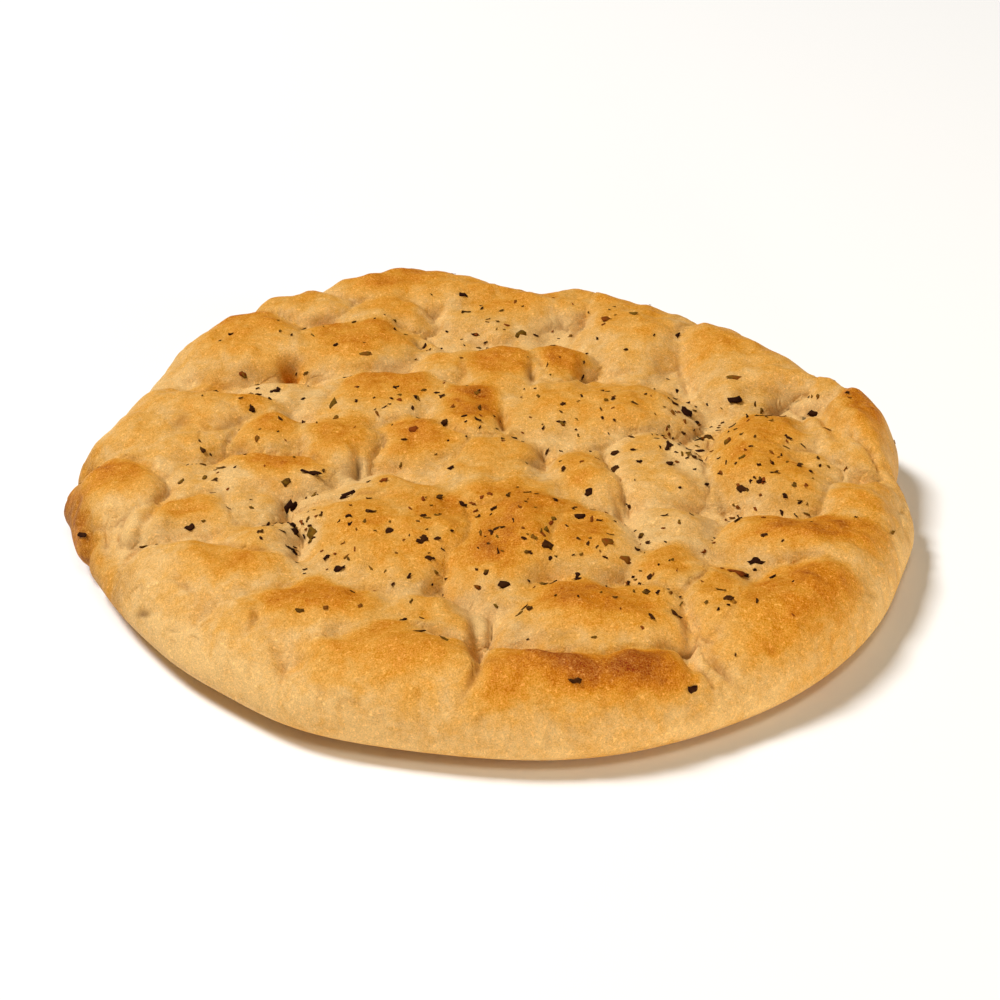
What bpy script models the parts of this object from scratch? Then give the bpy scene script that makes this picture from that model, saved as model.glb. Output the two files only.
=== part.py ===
"""Focaccia: one round, flat, dimpled oven bread with dried herb flakes baked onto its crust.

The bread is a single solid.  Its top is a field of rounded dough swellings that meet in
creases, its edge is a thick rounded roll, and its underside curves in to a flat resting face.
Tables are in millimetres in the bread's own plan (x to the right, y away from the front,
z up); the finished mesh is in metres, +Z up, with the origin at the centre of the resting side.
"""
import math

import bmesh
import bpy
import numpy as np
from mathutils import Matrix, Vector

MM = 0.001                    # metres in a millimetre

# ---- overall sizes, millimetres and degrees ----
MEAN_RADIUS = 121.0           # plan radius before the lobes of the outline are added
SHOULDER_WIDTH = 19.0         # how far in from the edge the top begins to roll over
EDGE_HEIGHT = 7.0             # height of the widest line of the edge above the table
UNDERCUT_WIDTH = 14.0         # how far in from the edge the underside touches the table
FLOOR_HEIGHT = 21.0           # height of the dough between the swellings
CREASE_DROP = 4.4             # fall from the crown of a full sized swelling to its border
FULL_SPAN = 17.0              # mean half span of a full sized swelling, smaller ones fall less
CROWN_POWER = 3.0             # how flat the crown of a swelling is
FAINT_SOFTNESS = 3.2          # rounding where two swellings meet in a faint crease
DEEP_SOFTNESS = 0.4           # rounding where they meet in a deep crease
CREASE_PINCH = 0.25           # how deep a crease is on the whole, from 0 faint to 1 deep
CREASE_DRIFT = 0.2            # how far its depth drifts along its length
CREASE_CHANGE = 24.0          # how soon along its length a faint crease turns deep
WAVE_COUNT = 10               # plane waves added up in one field of unevenness
DRIFT_FIELDS = [(36.0, 1.7), (14.0, 0.5)]    # wavelength, how far the creases wander
SWELL_FIELDS = [(27.0, 0.45), (11.0, 0.09)]  # wavelength, how far the crust rises and falls
FLAT_SHARE = 0.775            # share of the mesh rings that lie inside the shoulder
TOP_CELLS = 132               # mesh cells across the top before it is thinned
UNDER_RINGS = 9               # mesh rings between the edge and the resting face
TRIANGLE_GOAL = 6900          # triangles kept in the bread before the flakes are fused
RESTING_BAND = 0.2            # anything of the underside lower than this is laid flat
PLAN_MIDDLE = (-0.3, 2.9)     # middle of the bread's box in the tables' plan
MERGE_DISTANCE = 0.00005      # metres, edges shorter than this are closed up

# ---- outline lobes: direction (deg), breadth (deg), reach (mm) ----
OUTLINE_LOBES = [
    (-178, 5, 3.0), (174, 4, 2.2), (-168, 7, 1.6), (-158, 10, -2.2), (-143, 11, -3.4), (-127, 10, -2.8),
    (-100, 16, -2.5), (-72, 16, 1.5), (-48, 14, 2.0), (-29, 14, 2.0), (-8, 8, 3.0),
    (2, 5, -1.5), (13, 8, 5.8), (28, 9, -0.4), (38, 8, -4.6), (51, 8, -4.0),
    (64, 9, -5.5), (78, 9, -1.0), (90, 6, -1.0), (100, 7, 6.0), (112, 9, 7.0),
    (126, 9, 6.5), (132, 4, -5.0), (140, 8, 8.0), (151, 7, 1.0), (164, 8, -0.6),
    (179, 1.6, -2.2), (-176, 2, 1.0), (-163, 1.4, -2.0),
]
SHOULDER_LOBES = [(-80, 60, -1.0), (95, 60, -3.0), (12, 9, -5.0)]
EDGE_LIFTS = [(-145, 40, 2.5)]
UNDERCUT_LOBES = [(-145, 45, 6.0)]

# ---- dough swellings: x, y, half length, half width, turn (deg), crown height ----
SWELLINGS = [
    # far rim, from left to right
    (-78, 70, 18, 21, 0, 29), (-64, 92, 14, 11, 0, 30.0), (-29, 106, 25, 17, 0, 29.5),
    (-35, 86, 15, 8, 0, 28), (-42, 65, 21, 15, 0, 29), (3, 95, 22, 20, 0, 26),
    (25, 96, 12, 12, 0, 26.5), (46, 80, 17, 25, 0, 28.2), (63, 81, 5, 6, 0, 25),
    (81, 60, 20, 27, 0, 28.8), (101, 38, 6, 10, 0, 26.5), (112, 19, 8, 20, 5, 30.2),
    # back half of the middle
    (-76, 24, 12, 9, 0, 28.3), (-88, 18, 12, 12, 0, 28.2), (-95, 13, 21, 26, 0, 28),
    (-61, 36, 14, 10, 0, 25),
    (-63, 9, 13, 10, 0, 28.5), (-44, 5, 11, 17, 0, 29), (-31, 31, 19, 14, 0, 29),
    (-5, 20, 10, 18, 0, 29.5), (-21, 4, 15, 15, 0, 28.5), (2, 47, 13, 15, 0, 29),
    (22, 51, 9, 12, 0, 28.5), (-12, 52, 9, 11, 0, 27), (31, 24, 26, 20, 0, 29),
    (82, 8, 14, 17, 0, 28), (104, 9, 9, 18, 0, 26),
    # front half of the middle
    (-114, 4, 6, 7, 0, 23.5), (-107, -15, 13, 13, 0, 27.3), (-84, -18, 11, 8, 0, 26),
    (-85, -33, 12, 11, 15, 27), (-59, -10, 18, 9, 0, 28), (-67, -26, 12, 10, 0, 25.5),
    (-63, -46, 12, 11, 0, 27.5), (-70, -60, 17, 11, 0, 27), (-31, -46, 20, 24, 0, 29.5),
    (-29, -23, 17, 9, 0, 28), (2, -7, 14, 18, 0, 28.5), (5, -28, 13, 12, 0, 28),
    (27, -15, 11, 18, 0, 28.5), (49, -9, 13, 20, 0, 27.5), (80, -11, 19, 19, 0, 28.5),
    (113, -5, 8, 9, 0, 22), (107, -26, 12, 14, 0, 26), (26, -47, 13, 16, 0, 29),
    (49, -41, 19, 10, 0, 25.6), (3, -49, 16, 24, 0, 29),
    (-14, -40, 12, 15, 0, 28.6), (15, -45, 10, 14, 0, 28.6),
    # near rim, from left to right
    (-112, -26, 8, 15, 8, 24), (-88, -63, 20, 15, -42, 25.5), (-63, -93, 15, 12, -20, 26),
    (0, -114, 16, 9, 0, 27.6),
    (-45, -80, 21, 14, 0, 28), (-25, -104, 25, 14, 0, 28.5), (-14, -86, 12, 10, 0, 27.5),
    (29, -82, 24, 15, 0, 29.6), (26, -108, 28, 12, 0, 29.5), (49, -64, 10, 17, 0, 27.5),
    (60, -75, 8, 15, 0, 27.3), (84, -77, 27, 17, 35, 28.5), (91, -46, 24, 12, 6, 28.5),
]

# ---- finger pits and cracks: x, y, half length, half width, turn (deg), depth ----
PITS = [
    (-62, 54, 3.2, 3.2, 0, 6.5), (-76, 36, 9, 3.5, -20, 2.0), (-9, 92, 5, 5, 0, 2.0),
    (-22, 68, 2, 4, 20, 3.0), (29, 47, 1.8, 6, 0, 3.2), (13, 45, 1.6, 6, 0, 3.2),
    (-38, -8, 1.6, 7, 0, 3.2), (4, 16, 1.6, 6, 0, 3.5), (55, -7, 4, 6, 30, 2.2),
    (14, -7, 4, 2.2, 10, 2.5), (95, 38, 5, 6, 30, 2.5), (30, 84, 3, 4, 0, 2.0),
    (-51, -46, 6, 8, -25, 1.8), (-27, -8, 5, 1.6, -20, 1.8), (61, 25, 8, 10, 0, 1.2),
    (100, 20, 2, 14, 10, 3.0), (-3, -94, 1.8, 12, 4, 4.0), (52, -92, 1.8, 14, 0, 2.5),
    (48, -110, 10, 1.6, 35, 3.0), (-93, -68.5, 6, 1.3, -40, 3.0), (-50, -98, 5, 3.5, -30, 4.0),
    (-62, -87, 4, 3, 30, 1.5), (60, 71, 3, 6, -40, 1.5), (117, -2, 5, 4, 0, 3.0),
    (-115, -31, 4, 4, 0, 1.5), (-104, -42, 6, 8, 20, 1.5), (24, -95, 22, 3, 0, 1.5),
    (-73, 1, 2, 4, 30, 2.5), (-18, 90, 3, 2, 0, 1.5), (67, -24, 1.2, 6, 10, 1.5),
    (106, -9, 2.5, 3, 0, 2.5), (37, -30, 1.2, 9, 15, 1.5), (-95, -34, 12, 2.2, 74, 3.0),
    (61, 48, 1.4, 12, 3, 2.0), (-56, -89, 12, 2.5, -62, 1.8), (-84, -78, 4, 1.0, -30, 1.8),
    (-61, -84, 4, 1.0, 70, 1.6),
]

# ---- larger herb flakes: x, y, length, width, turn (deg) ----
FLAKES = [
    (-56, -23, 8.0, 4.0, 70), (-51, -16, 7.0, 2.2, -20), (-41, -25, 7.0, 2.4, 0),
    (-49, -44, 6.0, 2.8, 75), (-54, -50, 4.0, 2.6, 20), (-83, -40, 3.2, 2.8, 0),
    (-95, -45, 3.8, 2.6, 60), (-77, -11, 3.2, 2.2, 0), (-84, 43, 4.0, 2.4, -10),
    (-47, 25, 4.6, 2.2, 80), (-115, -2, 3.4, 2.6, 0), (-40, -64, 3.6, 2.4, -20),
    (-39, 56, 4.2, 2.2, 0), (-8, 88, 3.4, 2.8, 20), (-9, 97, 3.2, 2.6, 0),
    (-21, 68, 3.6, 2.4, 60), (-27, -49, 3.2, 2.4, 10), (-18, -54, 3.6, 2.2, 20),
    (-16, -60, 3.2, 2.4, 30), (9, 77, 5.0, 3.0, 10), (16, -56, 4.8, 3.2, 20),
    (32, -54, 3.8, 3.0, 0), (37, -59, 3.6, 2.4, -20), (4, -71, 3.2, 2.4, 0),
    (-18, -94, 4.0, 2.2, -20), (-11, -97, 3.4, 2.2, -10), (28, -25, 3.6, 2.4, 70),
    (25, -41, 3.4, 2.2, 0), (75, 41, 5.6, 2.4, -5), (74, 31, 5.0, 3.6, 20),
    (59, 26, 5.0, 3.0, -50), (62, 16, 3.4, 2.4, 0), (52, 1, 4.0, 2.4, 80),
    (52, -8, 3.6, 2.4, 60), (36, -11, 3.8, 2.8, 50), (37, 0, 3.6, 2.6, 0),
    (72, -21, 4.4, 2.6, -30), (69, -39, 3.4, 2.2, 60), (73, -56, 5.2, 2.6, 5),
    (67, -62, 5.0, 4.0, 0), (63, -80, 3.4, 2.4, 0), (49, -84, 4.4, 2.4, -20),
    (110, -54, 3.8, 2.4, 70), (-8, -119, 4.2, 3.0, 60), (52, -106, 3.2, 2.4, 0),
    (81, -18, 3.2, 2.4, 30), (89, -12, 3.2, 2.4, 60), (98, 30, 3.4, 2.6, 0),
    (100, 13, 3.2, 2.4, -60), (37, 79, 4.0, 2.8, 10), (22, -112, 3.4, 2.2, -15),
]
# beds where smaller flakes are strewn: x, y, spread, how many
FLAKE_BEDS = [
    (-52, -38, 15, 5), (-76, -14, 12, 4), (-78, 30, 13, 3), (-2, 82, 16, 4), (10, -48, 18, 6),
    (62, 14, 16, 6), (75, -25, 17, 4), (45, -75, 16, 4), (20, 15, 25, 4), (-25, 25, 25, 3),
]
FLAKE_CORNERS = 7             # corners of a flake's outline
FLAKE_HALF_THICKNESS = 0.55   # how far a flake stands out of the crust, and reaches into it
FLAKE_TOP_SHARE = 0.78        # size of a flake's upper side against its lower side
FLAKE_GAP = 4.5               # least distance between the middles of two flakes
SMALL_FLAKE = (2.6, 3.4)      # length of the strewn flakes
SMALL_FLAKE_WIDTH = 0.7       # width of a strewn flake, as a share of its length
CORNER_CUT = 0.25             # most that a corner of a flake is drawn in, as a share
SHARP_ANGLE = 50.0            # edges sharper than this show as edges, not as rounding
SLOPE_STEP = 0.8              # distance over which the lean of the crust is measured

CRUST_COLOUR = (0.66, 0.36, 0.12, 1.0)
CRUST_ROUGHNESS = 0.55

# where the creases are pinched deep: x, y, half length, half width, turn (deg), how much
PINCHED = [
    (-68, 42, 16, 13, 0, 0.8), (-76, 4, 20, 9, 0, 0.7), (-21, 76, 9, 14, 0, 0.7),
    (-8, 12, 18, 9, 0, 0.7), (-40, -6, 20, 10, 0, 0.6), (24, 47, 13, 12, 0, 0.8),
    (31, 86, 8, 8, 0, 0.6), (14, -6, 16, 9, 0, 0.7), (37, -18, 9, 22, 0, 0.9),
    (57, 10, 14, 22, 0, 0.9), (68, -24, 8, 10, 0, 0.6), (95, 34, 12, 12, 0, 0.9),
    (107, -4, 14, 14, 0, 0.9), (-56, -36, 16, 18, 0, 0.8), (-106, -22, 14, 24, 0, 0.8),
    (-3, -90, 13, 14, 0, 1.0), (52, -88, 12, 20, 0, 0.8), (48, -110, 14, 8, 30, 0.5),
    (-60, -98, 24, 9, -20, 0.4), (26, -98, 30, 6, 0, 0.5), (-60, 90, 30, 8, 20, 0.4),
]


def lobed(bearing, base, lobes):
    """A base value plus, for each lobe, reach times a bell curve of the bearing."""
    value = np.full(np.shape(bearing), float(base))
    for direction, breadth, reach in lobes:
        away = (bearing - math.radians(direction) + math.pi) % (2 * math.pi) - math.pi
        value = value + reach * np.exp(-(away / math.radians(breadth)) ** 2)
    return value


def in_own_axes(x, y, row):
    """Plan places measured along a row's own length and width, in half lengths and widths."""
    turn = math.radians(row[4])
    along = ((x - row[0]) * math.cos(turn) + (y - row[1]) * math.sin(turn)) / row[2]
    across = ((y - row[1]) * math.cos(turn) - (x - row[0]) * math.sin(turn)) / row[3]
    return along, across


def unevenness(x, y, seed, wavelength, size):
    """Sum of plane waves of one length in seeded directions, about plus or minus the size."""
    rng = np.random.default_rng(seed)
    total = np.zeros(np.shape(x))
    for _ in range(WAVE_COUNT):
        heading, phase = rng.uniform(0.0, 2 * math.pi, 2)
        pace = 2 * math.pi / (wavelength * rng.uniform(0.75, 1.35))
        total = total + np.cos(pace * (x * math.cos(heading) + y * math.sin(heading)) + phase)
    return total * size * math.sqrt(2.0 / WAVE_COUNT)


def crease_softness(x, y):
    """Rounding of a crease at a place: least where it is pinched, and drifting along its length."""
    share = CREASE_PINCH + unevenness(x, y, 51, CREASE_CHANGE, CREASE_DRIFT)
    for row in PINCHED:
        along, across = in_own_axes(x, y, row)
        share = share + row[5] * np.exp(-(along ** 2 + across ** 2))
    share = np.clip(share, 0.0, 1.0)
    return FAINT_SOFTNESS + (DEEP_SOFTNESS - FAINT_SOFTNESS) * share


def dough_height(x, y):
    """Smooth maximum of the floor and every swelling, less a bell curve for each pit."""
    drift_x = sum(unevenness(x, y, 11 + step, *field) for step, field in enumerate(DRIFT_FIELDS))
    drift_y = sum(unevenness(x, y, 21 + step, *field) for step, field in enumerate(DRIFT_FIELDS))
    layers = [np.full(np.shape(x), FLOOR_HEIGHT)]
    for row in SWELLINGS:
        along, across = in_own_axes(x + drift_x, y + drift_y, row)
        drop = CREASE_DROP * min(1.0, math.sqrt(row[2] * row[3]) / FULL_SPAN)
        layers.append(row[5] - drop * (along ** 2 + across ** 2) ** (CROWN_POWER / 2))
    stack = np.stack(layers)
    highest = stack.max(axis=0)
    softness = crease_softness(x, y)
    spread = np.exp((stack - highest) / softness).sum(axis=0)
    height = highest + softness * np.log(spread)
    for row in PITS:
        along, across = in_own_axes(x, y, row)
        height = height - row[5] * np.exp(-(along ** 2 + across ** 2))
    rise = sum(unevenness(x, y, 31 + step, *field) for step, field in enumerate(SWELL_FIELDS))
    return height + rise


def top_surface(x, y):
    """Height of the crust over any plan place inside the outline, shoulder included."""
    bearing = np.arctan2(y, x)
    width = lobed(bearing, SHOULDER_WIDTH, SHOULDER_LOBES)
    edge = lobed(bearing, EDGE_HEIGHT, EDGE_LIFTS)
    inner = lobed(bearing, MEAN_RADIUS, OUTLINE_LOBES) - width
    rolled = np.clip((np.hypot(x, y) - inner) / width, 0.0, 1.0)
    return edge + (dough_height(x, y) - edge) * np.sqrt(1.0 - rolled ** 2)


def top_points():
    """Square grid pressed into the outline: even inside, an even quarter turn at the edge."""
    steps = np.linspace(-1.0, 1.0, TOP_CELLS + 1)
    across, back = np.meshgrid(steps, steps)
    disc_x = across * np.sqrt(1.0 - back ** 2 / 2)
    disc_y = back * np.sqrt(1.0 - across ** 2 / 2)
    share = np.minimum(np.hypot(disc_x, disc_y), 1.0)
    bearing = np.arctan2(disc_y, disc_x)
    width = lobed(bearing, SHOULDER_WIDTH, SHOULDER_LOBES)
    inner = lobed(bearing, MEAN_RADIUS, OUTLINE_LOBES) - width
    turn = np.clip((share - FLAT_SHARE) / (1.0 - FLAT_SHARE), 0.0, 1.0) * math.pi / 2
    reach = np.where(share < FLAT_SHARE, share / FLAT_SHARE * inner, inner + width * np.sin(turn))
    x = reach * np.cos(bearing)
    y = reach * np.sin(bearing)
    edge = lobed(bearing, EDGE_HEIGHT, EDGE_LIFTS)
    z = edge + (dough_height(x, y) - edge) * np.cos(turn)
    return np.stack([x, y, z], axis=-1).reshape(-1, 3)


def rim_order():
    """Grid numbers of the edge points, once round, seen anticlockwise from above."""
    side = TOP_CELLS + 1
    front = [column for column in range(side - 1)]
    right = [row * side + side - 1 for row in range(side - 1)]
    far = [(side - 1) * side + column for column in range(side - 1, 0, -1)]
    left = [row * side for row in range(side - 1, 0, -1)]
    return front + right + far + left


def under_points(rim):
    """Rings from the edge in to the resting face, along a quarter ellipse, then the centre."""
    bearing = np.arctan2(rim[:, 1], rim[:, 0])
    outer = lobed(bearing, MEAN_RADIUS, OUTLINE_LOBES)
    width = lobed(bearing, UNDERCUT_WIDTH, UNDERCUT_LOBES)
    edge = lobed(bearing, EDGE_HEIGHT, EDGE_LIFTS)
    rings = []
    for ring in range(1, UNDER_RINGS + 1):
        turn = math.pi / 2 * (1.0 - ring / UNDER_RINGS)
        reach = outer - width * (1.0 - math.sin(turn))
        height = edge * (1.0 - math.cos(turn))
        rings.append(np.stack([reach * np.cos(bearing), reach * np.sin(bearing), height], axis=-1))
    rings.append(np.zeros((1, 3)))
    return np.concatenate(rings)


def bread_faces(rim):
    """Quads of the top grid, quads of the underside rings and a fan to the centre."""
    side = TOP_CELLS + 1
    faces = []
    for row in range(TOP_CELLS):
        for column in range(TOP_CELLS):
            corner = row * side + column
            faces.append((corner, corner + 1, corner + side + 1, corner + side))
    count = len(rim)
    outer = list(rim)
    for ring in range(UNDER_RINGS):
        start = side * side + ring * count
        inner = list(range(start, start + count))
        for step in range(count):
            after = (step + 1) % count
            faces.append((outer[after], outer[step], inner[step], inner[after]))
        outer = inner
    centre = side * side + UNDER_RINGS * count
    for step in range(count):
        faces.append((outer[(step + 1) % count], outer[step], centre))
    return faces


def crust_material():
    """Baked crust: golden brown, a little sheen from the oil."""
    material = bpy.data.materials.new("crust")
    material.use_nodes = True
    shader = material.node_tree.nodes["Principled BSDF"]
    shader.inputs["Base Color"].default_value = CRUST_COLOUR
    shader.inputs["Roughness"].default_value = CRUST_ROUGHNESS
    shader.inputs["Metallic"].default_value = 0.0
    material.diffuse_color = CRUST_COLOUR
    return material


def thinned(mesh, goal):
    """The same surface with triangles dropped where it is flattest, down to the goal."""
    carrier = bpy.data.objects.new("thinning", mesh)
    bpy.context.scene.collection.objects.link(carrier)
    triangles = sum(len(face.vertices) - 2 for face in mesh.polygons)
    modifier = carrier.modifiers.new("thin", "DECIMATE")
    modifier.ratio = goal / triangles
    modifier.use_collapse_triangulate = True
    graph = bpy.context.evaluated_depsgraph_get()
    result = bpy.data.meshes.new_from_object(carrier.evaluated_get(graph))
    bpy.data.objects.remove(carrier)
    return result


def lay_flat(mesh):
    """Brings the lowest part of the underside exactly onto the table plane."""
    for vertex in mesh.vertices:
        if vertex.co.z < RESTING_BAND * MM:
            vertex.co.z = 0.0


def bread_mesh():
    """The whole bread without its flakes."""
    top = top_points()
    rim = rim_order()
    under = under_points(top[rim])
    points = np.concatenate([top, under]) * MM
    mesh = bpy.data.meshes.new("bread")
    mesh.from_pydata([tuple(point) for point in points], [], bread_faces(rim))
    mesh.validate()
    thin = thinned(mesh, TRIANGLE_GOAL)
    lay_flat(thin)
    return thin


def strewn_flakes():
    """Named flakes first, then small ones drawn around each bed, none touching another."""
    rng = np.random.default_rng(7)
    rows = list(FLAKES)
    for bed_x, bed_y, spread, how_many in FLAKE_BEDS:
        placed = 0
        while placed < how_many:
            x = bed_x + rng.normal(0.0, spread / 2)
            y = bed_y + rng.normal(0.0, spread / 2)
            length = rng.uniform(*SMALL_FLAKE)
            turn = rng.uniform(0.0, 180.0)
            if all(math.hypot(x - row[0], y - row[1]) > FLAKE_GAP for row in rows):
                rows.append((x, y, length, length * SMALL_FLAKE_WIDTH, turn))
                placed += 1
    return rows


def flake_mesh(row, seed):
    """Flat many-cornered chip lying along the crust, its upper side a little smaller."""
    rng = np.random.default_rng(seed)
    x, y, length, width, turn = row
    place = np.array([x, x + SLOPE_STEP, x - SLOPE_STEP, x, x])
    depth = np.array([y, y, y, y + SLOPE_STEP, y - SLOPE_STEP])
    level = top_surface(place, depth)
    rise_x = (level[1] - level[2]) / (2 * SLOPE_STEP)
    rise_y = (level[3] - level[4]) / (2 * SLOPE_STEP)
    outward = Vector((-rise_x, -rise_y, 1.0)).normalized()
    heading = math.radians(turn)
    along = Vector((math.cos(heading), math.sin(heading), 0.0))
    along = (along - outward * along.dot(outward)).normalized()
    across = outward.cross(along)
    centre = Vector((x, y, level[0]))
    points = []
    for side, share in ((-1.0, 1.0), (1.0, FLAKE_TOP_SHARE)):
        for corner in range(FLAKE_CORNERS):
            angle = 2 * math.pi * corner / FLAKE_CORNERS
            reach = (1.0 - CORNER_CUT * rng.random()) * share / 2
            points.append(centre + along * (length * reach * math.cos(angle))
                          + across * (width * reach * math.sin(angle))
                          + outward * (side * FLAKE_HALF_THICKNESS))
    lower = list(range(FLAKE_CORNERS))
    upper = [corner + FLAKE_CORNERS for corner in lower]
    faces = [tuple(reversed(lower)), tuple(upper)]
    for corner in lower:
        after = (corner + 1) % FLAKE_CORNERS
        faces.append((corner, after, after + FLAKE_CORNERS))
        faces.append((corner, after + FLAKE_CORNERS, corner + FLAKE_CORNERS))
    mesh = bpy.data.meshes.new("flake")
    mesh.from_pydata([tuple(point * MM) for point in points], [], faces)
    return mesh


def flake_collection():
    """All flakes as loose objects in one collection."""
    flakes = bpy.data.collections.new("flakes")
    bpy.context.scene.collection.children.link(flakes)
    for number, row in enumerate(strewn_flakes()):
        flakes.objects.link(bpy.data.objects.new("flake", flake_mesh(row, 100 + number)))
    return flakes


def fuse_flakes(bread):
    """One union joins every flake to the bread, then the loose flakes are cleared away."""
    flakes = flake_collection()
    modifier = bread.modifiers.new("fuse", "BOOLEAN")
    modifier.operation = "UNION"
    modifier.operand_type = "COLLECTION"
    modifier.collection = flakes
    modifier.solver = "EXACT"
    graph = bpy.context.evaluated_depsgraph_get()
    fused = bpy.data.meshes.new_from_object(bread.evaluated_get(graph))
    bread.modifiers.clear()
    bread.data = fused
    for flake in list(flakes.objects):
        bpy.data.objects.remove(flake)
    bpy.data.collections.remove(flakes)


def keep_largest_shell(mesh):
    """Drops scrap and sealed hollows: only the largest connected shell stays."""
    shape = bmesh.new()
    shape.from_mesh(mesh)
    bmesh.ops.triangulate(shape, faces=shape.faces[:])
    bmesh.ops.dissolve_degenerate(shape, dist=MERGE_DISTANCE, edges=shape.edges[:])
    bmesh.ops.triangulate(shape, faces=shape.faces[:])
    unseen = set(shape.verts)
    shells = []
    while unseen:
        shell = set()
        front = [unseen.pop()]
        while front:
            vertex = front.pop()
            shell.add(vertex)
            for edge in vertex.link_edges:
                other = edge.other_vert(vertex)
                if other in unseen:
                    unseen.remove(other)
                    front.append(other)
        shells.append(shell)
    shells.sort(key=len)
    for shell in shells[:-1]:
        bmesh.ops.delete(shape, geom=list(shell), context="VERTS")
    bmesh.ops.recalc_face_normals(shape, faces=shape.faces[:])
    shape.to_mesh(mesh)
    shape.free()


def build_focaccia():
    """Bread with its flakes as one object with its material."""
    focaccia = bpy.data.objects.new("focaccia", bread_mesh())
    bpy.context.scene.collection.objects.link(focaccia)
    fuse_flakes(focaccia)
    keep_largest_shell(focaccia.data)
    focaccia.data.transform(Matrix.Translation((-PLAN_MIDDLE[0] * MM, -PLAN_MIDDLE[1] * MM, 0.0)))
    focaccia.data.name = "focaccia"
    focaccia.data.materials.clear()
    focaccia.data.materials.append(crust_material())
    focaccia.data.shade_smooth()
    focaccia.data.set_sharp_from_angle(angle=math.radians(SHARP_ANGLE))
    return focaccia


for old in list(bpy.data.objects):
    bpy.data.objects.remove(old)
build_focaccia()
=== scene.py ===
"""A round flat focaccia with dried herbs baked onto its crust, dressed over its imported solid.

Tables are in millimetres in the bread's own plan: x to the right, y away from the front, z up.
"""
import math
import bpy
import numpy as np
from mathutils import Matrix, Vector


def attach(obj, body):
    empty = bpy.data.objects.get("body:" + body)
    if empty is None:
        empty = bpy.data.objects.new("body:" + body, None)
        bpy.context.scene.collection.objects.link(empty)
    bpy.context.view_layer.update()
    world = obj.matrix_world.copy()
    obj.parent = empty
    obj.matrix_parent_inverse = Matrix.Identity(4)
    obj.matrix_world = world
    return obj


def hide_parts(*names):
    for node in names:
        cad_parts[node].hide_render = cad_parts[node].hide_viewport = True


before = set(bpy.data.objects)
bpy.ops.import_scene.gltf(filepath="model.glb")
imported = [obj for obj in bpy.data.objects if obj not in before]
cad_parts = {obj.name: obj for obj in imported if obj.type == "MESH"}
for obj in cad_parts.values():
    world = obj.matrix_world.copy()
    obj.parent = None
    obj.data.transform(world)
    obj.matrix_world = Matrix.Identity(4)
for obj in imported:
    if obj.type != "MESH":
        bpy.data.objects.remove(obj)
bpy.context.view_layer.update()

# ---------------------------------------------------------------------------------------------
# The crust: the whole loaf of dough, pressed with fingertips before baking, so that it rose in
# swellings with creases between them.  It is one closed skin: top, rolled edge and underside.
# ---------------------------------------------------------------------------------------------
MM = 0.001                    # metres in a millimetre
PLAN_MIDDLE = (-0.3, 2.9)     # middle of the bread's box in the tables' plan
MEAN_RADIUS = 121.0           # plan radius before the lobes of the outline are added
SHOULDER_WIDTH = 19.0         # the top rolls over within this distance of the edge
EDGE_HEIGHT = 7.0             # height of the widest line of the edge
UNDERCUT_WIDTH = 14.0         # the underside leaves the table within this distance of the edge
FLOOR_HEIGHT = 21.0           # dough between the swellings
CREASE_DROP = 4.4             # fall of a full sized swelling from crown to border
FULL_SPAN = 17.0              # half span of a full sized swelling
CROWN_POWER = 3.0             # how flat the crown of a swelling is
CREASE_SOFTNESS = (3.2, 0.35)  # rounding of a crease where it is faint and where it is deep
CREASE_NOTCHES = (0.1, 1.6)   # how far a crease is cut in where it is faint and where it is deep
CREASE_BREADTH = 0.6          # difference in height at which a crease line has faded
CREASE_PINCH = 0.25           # how deep a crease is on the whole, from 0 faint to 1 deep
CREASE_DRIFT = 0.2            # how far its depth drifts along its length
CREASE_CHANGE = 24.0          # how soon along its length a faint crease turns deep
WAVE_COUNT = 10               # plane waves added up in one field of unevenness
WAVE_SPREAD = (0.75, 1.35)    # their lengths, as shares of the field's own
# fields of unevenness, each with its length and size
DRIFT_FIELDS = [(36.0, 1.7), (14.0, 0.5)]                 # how far the creases wander
SWELL_FIELDS = [(27.0, 0.45), (11.0, 0.09)]               # how far the crust rises and falls
FINE_FIELDS = [(12.0, 0.22), (7.0, 0.17), (3.4, 0.06)]    # unevenness too fine for the solid
# seeds of the fields: where one kind has several, each next one takes the next number
DRIFT_X_SEED = 11
DRIFT_Y_SEED = 21
SWELL_SEED = 31
FINE_SEED = 41
CREASE_SEED = 51
CHIP_SEED = 61
SKIN_INSET = 0.15             # the skin lies this far inside the solid's outline
SKIN_DROP = 0.85              # and its top this far below, as fine bumps stand on it
CHIP_SIZE = 6.0               # the rolled edge is dented by chips of about this length
CHIP_DEPTH = 0.7              # and about this depth
CHIP_LEVELS = (0.3, 1.1)      # where a chip begins and is whole, in its field of unevenness
CHIP_START = (0.35, 0.6)      # how far the edge has turned where chips begin and are whole
CHIP_STOP_POWER = 8           # and how close to the widest line they go
FLAT_SHARE = 0.775            # share of the grid that lies inside the shoulder
TOP_CELLS = 286               # grid cells across the top
UNDER_RINGS = 10              # rings of points between the edge and the resting face
FLAT_RINGS = 4                # rings of cells on the resting face

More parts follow.
